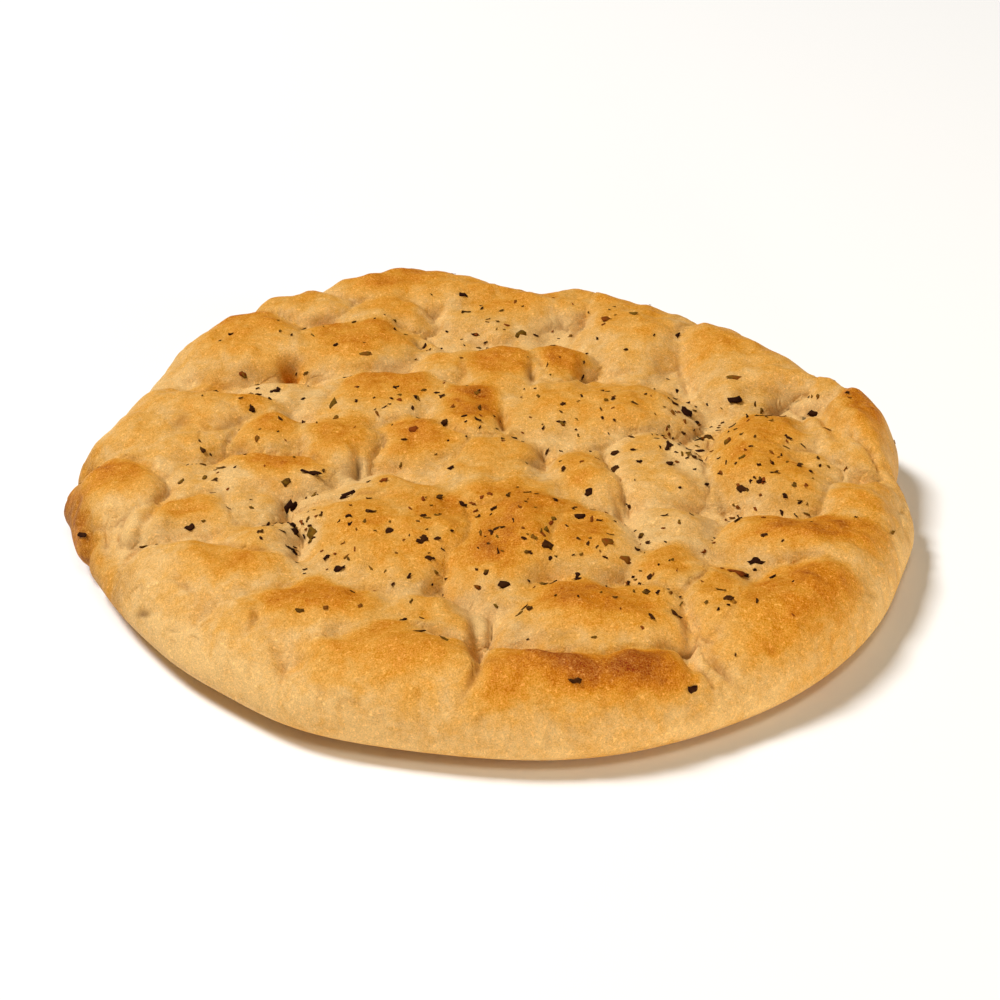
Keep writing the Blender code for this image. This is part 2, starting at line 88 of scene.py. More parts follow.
# lobes of the outline, the shoulder, the edge's height and the undercut, which stand out or
# stay back round a direction: direction (deg), breadth (deg), reach (mm)
OUTLINE_LOBES = [
    (-178, 5, 3.0), (174, 4, 2.2), (-168, 7, 1.6), (-158, 10, -2.2), (-143, 11, -3.4),
    (-127, 10, -2.8), (-100, 16, -2.5), (-72, 16, 1.5), (-48, 14, 2.0), (-29, 14, 2.0), (-8, 8, 3.0),
    (2, 5, -1.5), (13, 8, 5.8), (28, 9, -0.4), (38, 8, -4.6), (51, 8, -4.0),
    (64, 9, -5.5), (78, 9, -1.0), (90, 6, -1.0), (100, 7, 6.0), (112, 9, 7.0),
    (126, 9, 6.5), (132, 4, -5.0), (140, 8, 8.0), (151, 7, 1.0), (164, 8, -0.6),
    (179, 1.6, -2.2), (-176, 2, 1.0), (-163, 1.4, -2.0),
]
SHOULDER_LOBES = [(-80, 60, -1.0), (95, 60, -3.0), (12, 9, -5.0)]
EDGE_LIFTS = [(-145, 40, 2.5)]
UNDERCUT_LOBES = [(-145, 45, 6.0)]

# swellings: x, y, half length, half width, turn (deg), crown height, how brown they baked
SWELLINGS = [
    (-78, 70, 18, 21, 0, 29, 0.7), (-64, 92, 14, 11, 0, 30.0, 0.6), (-29, 106, 25, 17, 0, 29.5, 0.8),
    (-35, 86, 15, 8, 0, 28, 0.6), (-42, 65, 21, 15, 0, 29, 0.8), (3, 95, 22, 20, 0, 26, 0.6),
    (25, 96, 12, 12, 0, 26.5, 0.5), (46, 80, 17, 25, 0, 28.2, 0.6), (63, 81, 5, 6, 0, 25, 0.3),
    (81, 60, 20, 27, 0, 28.8, 0.6), (101, 38, 6, 10, 0, 26.5, 0.5), (112, 19, 8, 20, 5, 30.2, 0.8),
    (-76, 24, 12, 9, 0, 28.3, 0.7), (-88, 18, 12, 12, 0, 28.2, 0.5), (-95, 13, 21, 26, 0, 28, 0.3),
    (-61, 36, 14, 10, 0, 25, 0.3),
    (-63, 9, 13, 10, 0, 28.5, 0.7), (-44, 5, 11, 17, 0, 29, 0.8), (-31, 31, 19, 14, 0, 29, 0.8),
    (-5, 20, 10, 18, 0, 29.5, 0.9), (-21, 4, 15, 15, 0, 28.5, 0.8), (2, 47, 13, 15, 0, 29, 0.8),
    (22, 51, 9, 12, 0, 28.5, 0.8), (-12, 52, 9, 11, 0, 27, 0.5), (31, 24, 26, 20, 0, 29, 0.6),
    (82, 8, 14, 17, 0, 28, 0.7), (104, 9, 9, 18, 0, 26, 0.4),
    (-114, 4, 6, 7, 0, 23.5, 0.3), (-107, -15, 13, 13, 0, 27.3, 0.7), (-84, -18, 11, 8, 0, 26, 0.3),
    (-85, -33, 12, 11, 15, 27, 0.7), (-59, -10, 18, 9, 0, 28, 0.8), (-67, -26, 12, 10, 0, 25.5, 0.2),
    (-63, -46, 12, 11, 0, 27.5, 0.5), (-70, -60, 17, 11, 0, 27, 0.6), (-31, -46, 20, 24, 0, 29.5, 0.55),
    (-29, -23, 17, 9, 0, 28, 0.3), (2, -7, 14, 18, 0, 28.5, 0.5), (5, -28, 13, 12, 0, 28, 0.6),
    (27, -15, 11, 18, 0, 28.5, 0.5), (49, -9, 13, 20, 0, 27.5, 0.3), (80, -11, 19, 19, 0, 28.5, 0.7),
    (113, -5, 8, 9, 0, 22, 0.3), (107, -26, 12, 14, 0, 26, 0.5), (26, -47, 13, 16, 0, 29, 0.8),
    (49, -41, 19, 10, 0, 25.6, 0.2), (3, -49, 16, 24, 0, 29, 0.8),
    (-14, -40, 12, 15, 0, 28.6, 0.9), (15, -45, 10, 14, 0, 28.6, 0.9),
    (-112, -26, 8, 15, 8, 24, 0.6), (-88, -63, 20, 15, -42, 25.5, 0.35), (-63, -93, 15, 12, -20, 26, 0.3),
    (0, -114, 16, 9, 0, 27.6, 0.8),
    (-45, -80, 21, 14, 0, 28, 0.7), (-25, -104, 25, 14, 0, 28.5, 0.7), (-14, -86, 12, 10, 0, 27.5, 0.5),
    (29, -82, 24, 15, 0, 29.6, 0.7), (26, -108, 28, 12, 0, 29.5, 1.0), (49, -64, 10, 17, 0, 27.5, 0.6),
    (60, -75, 8, 15, 0, 27.3, 0.6), (84, -77, 27, 17, 35, 28.5, 0.8), (91, -46, 24, 12, 6, 28.5, 0.9),
]
# finger pits and cracks: x, y, half length, half width, turn (deg), depth
PITS = [
    (-62, 54, 3.2, 3.2, 0, 6.5), (-76, 36, 9, 3.5, -20, 2.0), (-9, 92, 5, 5, 0, 2.0),
    (-22, 68, 2, 4, 20, 3.0), (29, 47, 1.8, 6, 0, 3.2), (13, 45, 1.6, 6, 0, 3.2),
    (-38, -8, 1.6, 7, 0, 3.2), (4, 16, 1.6, 6, 0, 3.5), (55, -7, 4, 6, 30, 2.2),
    (14, -7, 4, 2.2, 10, 2.5), (95, 38, 5, 6, 30, 2.5), (30, 84, 3, 4, 0, 2.0),
    (-51, -46, 6, 8, -25, 1.8), (-27, -8, 5, 1.6, -20, 1.8), (61, 25, 8, 10, 0, 1.2),
    (100, 20, 2, 14, 10, 3.0), (-3, -94, 1.8, 12, 4, 4.0), (52, -92, 1.8, 14, 0, 2.5),
    (48, -110, 10, 1.6, 35, 3.0), (-93, -68.5, 6, 1.3, -40, 3.0), (-50, -98, 5, 3.5, -30, 4.0),
    (-62, -87, 4, 3, 30, 1.5), (60, 71, 3, 6, -40, 1.5), (117, -2, 5, 4, 0, 3.0),
    (-115, -31, 4, 4, 0, 1.5), (-104, -42, 6, 8, 20, 1.5), (24, -95, 22, 3, 0, 1.5),
    (-73, 1, 2, 4, 30, 2.5), (-18, 90, 3, 2, 0, 1.5), (67, -24, 1.2, 6, 10, 1.5),
    (106, -9, 2.5, 3, 0, 2.5), (37, -30, 1.2, 9, 15, 1.5), (-95, -34, 12, 2.2, 74, 3.0),
    (61, 48, 1.4, 12, 3, 2.0), (-56, -89, 12, 2.5, -62, 1.8), (-84, -78, 4, 1.0, -30, 1.8),
    (-61, -84, 4, 1.0, 70, 1.6),
]

# where the creases are pinched deep: x, y, half length, half width, turn (deg), how much
PINCHED = [
    (-68, 42, 16, 13, 0, 0.8), (-76, 4, 20, 9, 0, 0.7), (-21, 76, 9, 14, 0, 0.7),
    (-8, 12, 18, 9, 0, 0.7), (-40, -6, 20, 10, 0, 0.6), (24, 47, 13, 12, 0, 0.8),
    (31, 86, 8, 8, 0, 0.6), (14, -6, 16, 9, 0, 0.7), (37, -18, 9, 22, 0, 0.9),
    (57, 10, 14, 22, 0, 0.9), (68, -24, 8, 10, 0, 0.6), (95, 34, 12, 12, 0, 0.9),
    (107, -4, 14, 14, 0, 0.9), (-56, -36, 16, 18, 0, 0.8), (-106, -22, 14, 24, 0, 0.8),
    (-3, -90, 13, 14, 0, 1.0), (52, -88, 12, 20, 0, 0.8), (48, -110, 14, 8, 30, 0.5),
    (-60, -98, 24, 9, -20, 0.4), (26, -98, 30, 6, 0, 0.5), (-60, 90, 30, 8, 20, 0.4),
]


def lobed(bearing, base, lobes):
    """A base value plus, for each lobe, its reach times a bell curve of the bearing."""
    value = np.full(np.shape(bearing), float(base))
    for direction, breadth, reach in lobes:
        away = (bearing - math.radians(direction) + math.pi) % (2 * math.pi) - math.pi
        value = value + reach * np.exp(-(away / math.radians(breadth)) ** 2)
    return value


def in_own_axes(x, y, row):
    """Plan places along a row's own length and width, in half lengths and half widths."""
    turn = math.radians(row[4])
    along = ((x - row[0]) * math.cos(turn) + (y - row[1]) * math.sin(turn)) / row[2]
    across = ((y - row[1]) * math.cos(turn) - (x - row[0]) * math.sin(turn)) / row[3]
    return along, across


def unevenness(x, y, seed, wavelength, size):
    """Sum of plane waves of about one length in seeded directions, scaled to the size."""
    rng = np.random.default_rng(seed)
    total = np.zeros(np.shape(x))
    for _ in range(WAVE_COUNT):
        heading, phase = rng.uniform(0.0, 2 * math.pi, 2)
        pace = 2 * math.pi / (wavelength * rng.uniform(*WAVE_SPREAD))
        total = total + np.cos(pace * (x * math.cos(heading) + y * math.sin(heading)) + phase)
    return total * size * math.sqrt(2.0 / WAVE_COUNT)


def layered(x, y, seed, fields):
    """Sum of several fields of unevenness, each from the next seed."""
    return sum(unevenness(x, y, seed + step, *field) for step, field in enumerate(fields))


def smooth_step(low, high, value):
    """Rises from 0 at low to 1 at high along the usual soft s-curve."""
    share = np.clip((value - low) / (high - low), 0.0, 1.0)
    return share * share * (3.0 - 2.0 * share)


def crease_depth(x, y):
    """How deep a crease there is, 0 to 1: most where it is pinched, and drifting along it."""
    share = CREASE_PINCH + unevenness(x, y, CREASE_SEED, CREASE_CHANGE, CREASE_DRIFT)
    for row in PINCHED:
        along, across = in_own_axes(x, y, row)
        share = share + row[5] * np.exp(-(along ** 2 + across ** 2))
    return np.clip(share, 0.0, 1.0)


def swelling_layers(x, y):
    """One dome for each swelling, crown height less a power of the distance in half spans."""
    drift_x = layered(x, y, DRIFT_X_SEED, DRIFT_FIELDS)
    drift_y = layered(x, y, DRIFT_Y_SEED, DRIFT_FIELDS)
    layers = [np.full(np.shape(x), FLOOR_HEIGHT)]
    for row in SWELLINGS:
        along, across = in_own_axes(x + drift_x, y + drift_y, row)
        drop = CREASE_DROP * min(1.0, math.sqrt(row[2] * row[3]) / FULL_SPAN)
        layers.append(row[5] - drop * (along ** 2 + across ** 2) ** (CROWN_POWER / 2))
    return np.stack(layers)


def dough_height(x, y):
    """Smooth maximum of the floor and every swelling, less a bell curve for each pit."""
    stack = swelling_layers(x, y)
    highest = stack.max(axis=0)
    faint, deep = CREASE_SOFTNESS
    softness = faint + (deep - faint) * crease_depth(x, y)
    height = highest + softness * np.log(np.exp((stack - highest) / softness).sum(axis=0))
    for row in PITS:
        along, across = in_own_axes(x, y, row)
        height = height - row[5] * np.exp(-(along ** 2 + across ** 2))
    return height + layered(x, y, SWELL_SEED, SWELL_FIELDS)


def crease_line(x, y, breadth):
    """1 along the line where the two highest swellings are level, falling to 0 beside it."""
    highest_two = np.sort(swelling_layers(x, y), axis=0)[-2:]
    return np.exp(-((highest_two[1] - highest_two[0]) / breadth) ** 2)


def skin_height(x, y):
    """Height of the finished skin before its edge is rolled: fine bumps on, creases cut in."""
    fine = layered(x, y, FINE_SEED, FINE_FIELDS)
    faint, deep = CREASE_NOTCHES
    notch = (faint + (deep - faint) * crease_depth(x, y)) * crease_line(x, y, CREASE_BREADTH)
    return dough_height(x, y) + fine - notch - SKIN_DROP


def crust_height(x, y):
    """Height of the finished top over any plan place, with the quarter round of the shoulder."""
    bearing = np.arctan2(y, x)
    width = lobed(bearing, SHOULDER_WIDTH, SHOULDER_LOBES)
    edge = lobed(bearing, EDGE_HEIGHT, EDGE_LIFTS)
    inner = lobed(bearing, MEAN_RADIUS, OUTLINE_LOBES) - width
    rolled = np.clip((np.hypot(x, y) - inner) / width, 0.0, 1.0)
    return edge + (skin_height(x, y) - edge) * np.sqrt(1.0 - rolled ** 2)


def top_skin():
    """Square grid pressed into the outline: flat inside, an even quarter turn at the edge.

    Returns plan x, plan y, height and how far the edge has turned (0 flat, 1 upright).
    """
    steps = np.linspace(-1.0, 1.0, TOP_CELLS + 1)
    across, back = np.meshgrid(steps, steps)
    disc_x = across * np.sqrt(1.0 - back ** 2 / 2)
    disc_y = back * np.sqrt(1.0 - across ** 2 / 2)
    share = np.minimum(np.hypot(disc_x, disc_y), 1.0)
    bearing = np.arctan2(disc_y, disc_x)
    width = lobed(bearing, SHOULDER_WIDTH, SHOULDER_LOBES)
    inner = lobed(bearing, MEAN_RADIUS, OUTLINE_LOBES) - width - SKIN_INSET
    turned = np.clip((share - FLAT_SHARE) / (1.0 - FLAT_SHARE), 0.0, 1.0)
    turn = turned * math.pi / 2
    reach = np.where(share < FLAT_SHARE, share / FLAT_SHARE * inner, inner + width * np.sin(turn))
    x = reach * np.cos(bearing)
    y = reach * np.sin(bearing)
    chips = smooth_step(*CHIP_LEVELS, unevenness(x, y, CHIP_SEED, CHIP_SIZE, 1.0))
    dent = CHIP_DEPTH * chips * smooth_step(*CHIP_START, turned)
    reach = reach - dent * (1.0 - turned ** CHIP_STOP_POWER)
    x = reach * np.cos(bearing)
    y = reach * np.sin(bearing)
    edge = lobed(bearing, EDGE_HEIGHT, EDGE_LIFTS)
    z = edge + (skin_height(x, y) - edge) * np.cos(turn)
    return x, y, z, turned


def under_skin(bearing):
    """Rings from the edge down a quarter ellipse to the resting face, then in to its middle."""
    outer = lobed(bearing, MEAN_RADIUS, OUTLINE_LOBES) - SKIN_INSET
    width = lobed(bearing, UNDERCUT_WIDTH, UNDERCUT_LOBES)
    edge = lobed(bearing, EDGE_HEIGHT, EDGE_LIFTS)
    turn = math.pi / 2 * (1.0 - np.arange(1, UNDER_RINGS + 1) / UNDER_RINGS)[:, None]
    reach = outer - width * (1.0 - np.sin(turn))
    height = edge * (1.0 - np.cos(turn))
    shrink = (1.0 - np.arange(1, FLAT_RINGS) / FLAT_RINGS)[:, None]
    reach = np.concatenate([reach, (outer - width) * shrink])
    height = np.concatenate([height, np.zeros((FLAT_RINGS - 1, len(bearing)))])
    return reach * np.cos(bearing), reach * np.sin(bearing), height


def rim_numbers():
    """Grid numbers of the top's border, once round, anticlockwise from above."""
    side = TOP_CELLS + 1
    step = np.arange(side - 1)
    return np.concatenate([step, step * side + side - 1,
                           side * side - 1 - step, (side - 1 - step) * side])


def crust_quads(rim):
    """Quads of the grid, quads between the rings below, and a fan of triangles to the middle."""
    side = TOP_CELLS + 1
    corner = (np.arange(TOP_CELLS)[:, None] * side + np.arange(TOP_CELLS)[None, :]).ravel()
    grid = np.stack([corner, corner + 1, corner + side + 1, corner + side], axis=-1)
    count = len(rim)
    ring_count = UNDER_RINGS + FLAT_RINGS - 1
    rings = side * side + np.arange(ring_count * count).reshape(ring_count, count)
    rings = np.concatenate([rim[None, :], rings])
    after = np.roll(rings, -1, axis=1)
    band = np.stack([after[:-1], rings[:-1], rings[1:], after[1:]], axis=-1).reshape(-1, 4)
    middle = np.full(count, side * side + ring_count * count)
    fan = np.stack([after[-1], rings[-1], middle], axis=-1)
    return np.concatenate([grid, band]).tolist() + fan.tolist()


BLEND_SOFTNESS = 1.0          # difference in height over which two swellings' browning blends
BROWN_SET_BACK = 0.3          # a swelling browned most this share of its width behind its middle
BROWN_REACH = (0.35, 1.25)    # where its browning starts to fade and has faded, in half spans
REAR_PACE = 0.5               # behind, it fades over a longer way: this share of the pace
FRONT_BROWN = 0.3             # share of its browning left at a swelling's foot
FLOOR_BROWN = 0.05            # browning of the dough between the swellings
LEAST_BROWN = 0.05            # browning that the whole crust has
OWN_POWER = 1.1               # how strongly swellings differ in their browning
OWN_SHARE = 0.52              # share of its own browning that a place has anywhere
CROWN_SHARE = 0.22            # and how much more it has on a crown
BUMP_SHARE = 0.1              # and on a small bump
CROWN_RING = 7.0              # a crown stands above the places this far round it
CROWN_LEVELS = (-1.0, 0.9)    # and is whole between these heights above them
BUMP_RING = 2.5               # a small bump, the same
BUMP_LEVELS = (-0.4, 0.4)
RING_PLACES = 8               # places looked at in such a ring
FADE_TURN = (0.35, 0.9)       # how far the edge has turned where its browning starts and ends to fade
FADE_SHARE = 0.65             # share of the browning that is gone there
SCORCH_TURN = (0.35, 0.75)    # how far the edge has turned where scorching starts and is whole
SCORCH_BROWN = 0.7            # browning that scorching adds
# the rolled edge where it caught the heat: direction (deg), breadth (deg), how much
DARK_RIM = [(-178, 7, 0.9), (-165, 6, 0.7), (-154, 6, 0.4), (10, 7, 0.2)]
# spots that the oven toasted darker or left paler, and one of painted shade in the deep finger pit:
# x, y, half length, half width, turn (deg), by how much
TOASTED_AND_PIT_SHADE = [
    (30, -103, 22, 6, 0, 0.12), (40, -106, 10, 7, 0, 0.1), (-8, -57, 26, 11, 0, 0.26),
    (-86, 45, 5, 4, 0, 0.3), (-40, 100, 10, 4, 15, 0.12), (110, 22, 5, 9, 0, 0.15),
    (0, 22, 5, 8, 0, 0.15), (88, -68, 12, 6, 25, 0.12), (72, -92, 8, 5, 20, 0.15),
    (-82, -27, 7, 4, -20, 0.12), (20, 42, 6, 4, 0, 0.1), (-30, 118, 12, 3, 0, 0.2),
    # this line starts with the dark spot of painted shade in the deep finger pit
    (-62, 53, 2.4, 2.2, 0, 1.0), (-60, -95, 30, 11, -25, -0.13), (-92, -60, 14, 11, -40, -0.12),
    (-56, -42, 9, 10, 0, -0.35), (57, -1, 7, 10, 0, -0.3),
    (-72, 36, 10, 6, 0, -0.3), (-94, -38, 8, 14, -20, -0.2), (95, 33, 6, 6, 0, -0.25),
    (-75, -14, 12, 5, 0, -0.2), (24, 40, 10, 5, 0, -0.2), (-38, -12, 8, 6, 0, -0.25),
    (-3, -84, 10, 8, 0, -0.15), (30, 85, 10, 5, 0, -0.15), (34, -86, 18, 9, 0, 0.24),
    (-108, -36, 7, 10, 0, -0.3), (38, -38, 9, 8, 0, -0.3), (-32, -113, 18, 8, 0, -0.15),
    (-104, -6, 12, 10, 0, 0.15), (-48, -76, 18, 10, 0, 0.12), (4, 92, 14, 8, 0, 0.12),
    (-8, -28, 22, 8, 0, 0.24),
]
# narrow pits are painted dark inside as painted shade, darker the deeper they are
SLIT_WIDTH = 2.3              # a pit narrower than this, each way of its middle, is a dark slit
SLIT_LENGTH = 7.5             # where it is also shorter than this
SLIT_SHARPNESS = 4.5          # how narrow its darkest part is
DARK_SLIT_DEPTH = 3.2         # a slit this deep is as dark as any


def stand_out(x, y, reach):
    """Height of a place less the mean height of a ring of places around it."""
    around = np.linspace(0.0, 2 * math.pi, RING_PLACES, endpoint=False)
    ring = sum(dough_height(x + reach * math.cos(a), y + reach * math.sin(a)) for a in around)
    return dough_height(x, y) - ring / len(around)


# painted shade inside the narrow pits
def slit_shade(x, y):
    """1 along the middle of each deep slit, falling to 0 at its sides in a bell curve."""
    shade = np.zeros(np.shape(x))
    for row in PITS:
        if min(row[2], row[3]) < SLIT_WIDTH and max(row[2], row[3]) < SLIT_LENGTH:
            along, across = in_own_axes(x, y, row)
            dark = min(1.0, (row[5] / DARK_SLIT_DEPTH) ** 2)
            shade = np.maximum(shade, dark * np.exp(-SLIT_SHARPNESS * (along ** 2 + across ** 2)))
    return shade


def own_browning(x, y):
    """Each swelling's own browning, blended where two meet by how high each one stands.

    The crown and what lies behind it browned most, and it fades down the near slope to the foot.
    """
    stack = swelling_layers(x, y)
    weight = np.exp((stack - stack.max(axis=0)) / BLEND_SOFTNESS)
    brown = FLOOR_BROWN * weight[0]
    for row, share in zip(SWELLINGS, weight[1:]):
        along, across = in_own_axes(x, y, row)
        pace = np.where(across > 0, REAR_PACE, 1.0)
        faded = smooth_step(*BROWN_REACH, np.hypot(along, pace * (across - BROWN_SET_BACK)))
        brown = brown + row[6] * (1.0 - (1.0 - FRONT_BROWN) * faded) * share
    return brown / weight.sum(axis=0)


def rim_scorching(x, y, turned):
    """How far the rolled edge is scorched, 0 to 1, in patches round it."""
    return lobed(np.arctan2(y, x), 0.0, DARK_RIM) * smooth_step(*SCORCH_TURN, turned)


def top_browning_and_shade(x, y, turned):
    """Crowns brown most, hollows stay pale, and the rolled edge pales towards its foot."""
    crown = smooth_step(*CROWN_LEVELS, stand_out(x, y, CROWN_RING))
    bump = smooth_step(*BUMP_LEVELS, stand_out(x, y, BUMP_RING))
    share = OWN_SHARE + CROWN_SHARE * crown + BUMP_SHARE * bump
    brown = LEAST_BROWN + own_browning(x, y) ** OWN_POWER * share
    # toasted and paler spots, and the painted shade in the finger pit
    for row in TOASTED_AND_PIT_SHADE:
        along, across = in_own_axes(x, y, row)
        brown = brown + row[5] * np.exp(-(along ** 2 + across ** 2))
    fade = 1.0 - FADE_SHARE * smooth_step(*FADE_TURN, turned)
    return np.clip(brown * fade + SCORCH_BROWN * rim_scorching(x, y, turned), 0.0, 1.0)


def srgb(red, green, blue):
    """A colour named by its screen values, 0 to 255, as the shader wants it."""
    screen = np.array([red, green, blue]) / 255.0
    linear = np.where(screen <= 0.04045, screen / 12.92, ((screen + 0.055) / 1.055) ** 2.4)
    return (*[float(value) for value in linear], 1.0)


def add_node(tree, kind, values=None, **settings):
    """Adds a shader node, sets its properties, then its unlinked inputs by name or number."""
    node = tree.nodes.new(kind)
    for name, value in settings.items():
        setattr(node, name, value)
    for name, value in (values or {}).items():
        node.inputs[name].default_value = value
    return node


def new_material(name):
    """A material, its node tree and its shader."""
    material = bpy.data.materials.new(name)
    material.use_nodes = True
    return material, material.node_tree, material.node_tree.nodes["Principled BSDF"]


def own_value(tree, name):
    """The number of that name that each point of a piece carries."""
    return add_node(tree, "ShaderNodeAttribute", attribute_name=name).outputs["Fac"]


def noise(tree, scale, detail, roughness, distortion=0.0):
    """Noise in object space; scale is in cells to the metre."""
    place = add_node(tree, "ShaderNodeTexCoord")
    node = add_node(tree, "ShaderNodeTexNoise", {
        "Scale": scale, "Detail": detail, "Roughness": roughness, "Distortion": distortion})
    tree.links.new(place.outputs["Object"], node.inputs["Vector"])
    return node.outputs["Fac"]


def math_node(tree, operation, first, second, clamp=False):
    """One sum, product or the like of two sockets or numbers."""
    node = add_node(tree, "ShaderNodeMath", operation=operation, use_clamp=clamp)
    for number, value in enumerate((first, second)):
        if isinstance(value, float):
            node.inputs[number].default_value = value
        else:
            tree.links.new(value, node.inputs[number])
    return node.outputs[0]


def remap(tree, value, low, high, to_low, to_high):
    """Stretches low..high onto a new range and holds it there."""
    node = add_node(tree, "ShaderNodeMapRange", {1: low, 2: high, 3: to_low, 4: to_high})
    tree.links.new(value, node.inputs[0])
    return node.outputs[0]


def ranged_noise(tree, texture, span):
    """Noise of a texture's numbers, with two of its levels stretched onto a new range."""
    return remap(tree, noise(tree, *texture), *span)


def ramp(tree, factor, stops):
    """Colour ramp from (place, colour) stops."""
    node = add_node(tree, "ShaderNodeValToRGB")
    while len(node.color_ramp.elements) < len(stops):
        node.color_ramp.elements.new(0.5)
    for element, (place, colour) in zip(node.color_ramp.elements, stops):
        element.position = place
        element.color = colour
    tree.links.new(factor, node.inputs["Fac"])
    return node.outputs["Color"]


def drawn_towards(tree, colour, target, own_share, strength):
    """A colour mixed with a fixed one by a point's own share times a strength."""
    node = add_node(tree, "ShaderNodeMix", {7: target}, data_type="RGBA")
    tree.links.new(math_node(tree, "MULTIPLY", own_share, strength), node.inputs[0])
    tree.links.new(colour, node.inputs[6])
    return node.outputs[2]


def lit_up(tree, colour, tint, amount):
    """A colour with a tint times an amount added, below zero to darken it."""
    node = add_node(tree, "ShaderNodeVectorMath", {0: tint[:3]}, operation="MULTIPLY_ADD")
    tree.links.new(amount, node.inputs[1])
    tree.links.new(colour, node.inputs[2])
    return node.outputs[0]


def bumped(tree, shader, height, strength, rise):
    """Bumps the shader's surface by a height, where 1 stands for the rise in metres."""
    bump = add_node(tree, "ShaderNodeBump", {"Strength": strength, "Distance": rise})
    tree.links.new(height, bump.inputs["Height"])
    tree.links.new(bump.outputs["Normal"], shader.inputs["Normal"])


WRINKLE_CELLS = 120.0         # cells to the metre, whose edges are the wrinkles
WRINKLE_EDGE = 0.12           # breadth of such an edge, as a share of a cell
PULL_TEXTURE = {"Scale": 90.0, "Detail": 2.0}   # the noise that pulls the cells about
PULL_REACH = 0.012            # and how far it does, in metres


def wrinkle_lines(tree):
    """1 along the edges of cells a few millimetres wide, in a pattern pulled about by noise."""
    place = add_node(tree, "ShaderNodeTexCoord")
    pull = add_node(tree, "ShaderNodeTexNoise", PULL_TEXTURE)
    tree.links.new(place.outputs["Object"], pull.inputs["Vector"])
    step = add_node(tree, "ShaderNodeVectorMath", {1: (PULL_REACH,) * 3}, operation="MULTIPLY")
    tree.links.new(pull.outputs["Color"], step.inputs[0])
    moved = add_node(tree, "ShaderNodeVectorMath", operation="ADD")
    tree.links.new(place.outputs["Object"], moved.inputs[0])
    tree.links.new(step.outputs[0], moved.inputs[1])
    cells = add_node(tree, "ShaderNodeTexVoronoi", {"Scale": WRINKLE_CELLS},
                     feature="DISTANCE_TO_EDGE")
    tree.links.new(moved.outputs[0], cells.inputs["Vector"])
    return remap(tree, cells.outputs["Distance"], 0.0, WRINKLE_EDGE, 1.0, 0.0)


# colours of the crust by how brown it is, from 0 to 1
CRUST_COLOURS = [
    (0.0, srgb(223, 181, 116)),     # floury
    (0.11, srgb(217, 170, 100)),    # pale cream
    (0.27, srgb(214, 159, 76)),     # pale gold
    (0.47, srgb(210, 144, 48)),     # gold
    (0.72, srgb(194, 119, 18)),     # orange-brown
    (1.0, srgb(156, 84, 4)),        # dark brown
]
SCORCHED = srgb(96, 44, 5)
GRAIN_LIGHT = srgb(255, 206, 132)
# painted shade: a dark colour laid along the deep creases, where shade falls
CREASE_SHADE = srgb(150, 96, 40)
# painted shade inside the narrow slits
SLIT_SHADE = srgb(84, 44, 16)
SLIT_DARKNESS = 0.75          # how far the middle of a slit takes its shade
CRUST_SHINE = 0.12            # specular level: dull, with a trace of oil
# textures of noise (cells to the metre, detail, roughness, distortion), each followed by two
# levels of the noise and the values that they are stretched onto
PATCHES = (70.0, 5.0, 0.68, 0.6), (0.3, 0.7, -0.18, 0.18)     # browning, in patches
MOTTLE = (280.0, 3.0, 0.65), (0.3, 0.7, -0.1, 0.1)            # browning, in small spots
SCORCH_DENSITY = (110.0, 3.0, 0.6), (0.4, 0.6, 0.25, 0.85)
CREASE_DENSITY = (120.0, 2.0, 0.6), (0.42, 0.62, 0.0, 0.8)    # creases show in broken lengths
FINE_GRAIN = (2700.0, 2.0, 0.6), (0.3, 0.7, -0.14, 0.14)      # the orange peel, light and dark
COARSE_GRAINS = [
    ((1250.0, 2.0, 0.55), (0.3, 0.7, -0.05, 0.05)),
    ((420.0, 2.0, 0.55), (0.3, 0.7, -0.025, 0.025)),
    ((1000.0, 1.0, 0.5), (0.62, 0.74, 0.0, 0.2)),             # light specks
]
CRUST_ROUGHNESS = (320.0, 2.0, 0.6), (0.3, 0.7, 0.5, 0.7)
BROAD_BUMPS = (240.0, 3.0, 0.5)
# shares of the broad bumps, the fine grain and the wrinkles in the bumped height
BROAD_RISE = 0.5
GRAIN_RISE = 0.3
WRINKLE_FALL = 0.35
CRUST_BUMP = (0.9, 0.0010)    # strength, and rise in metres


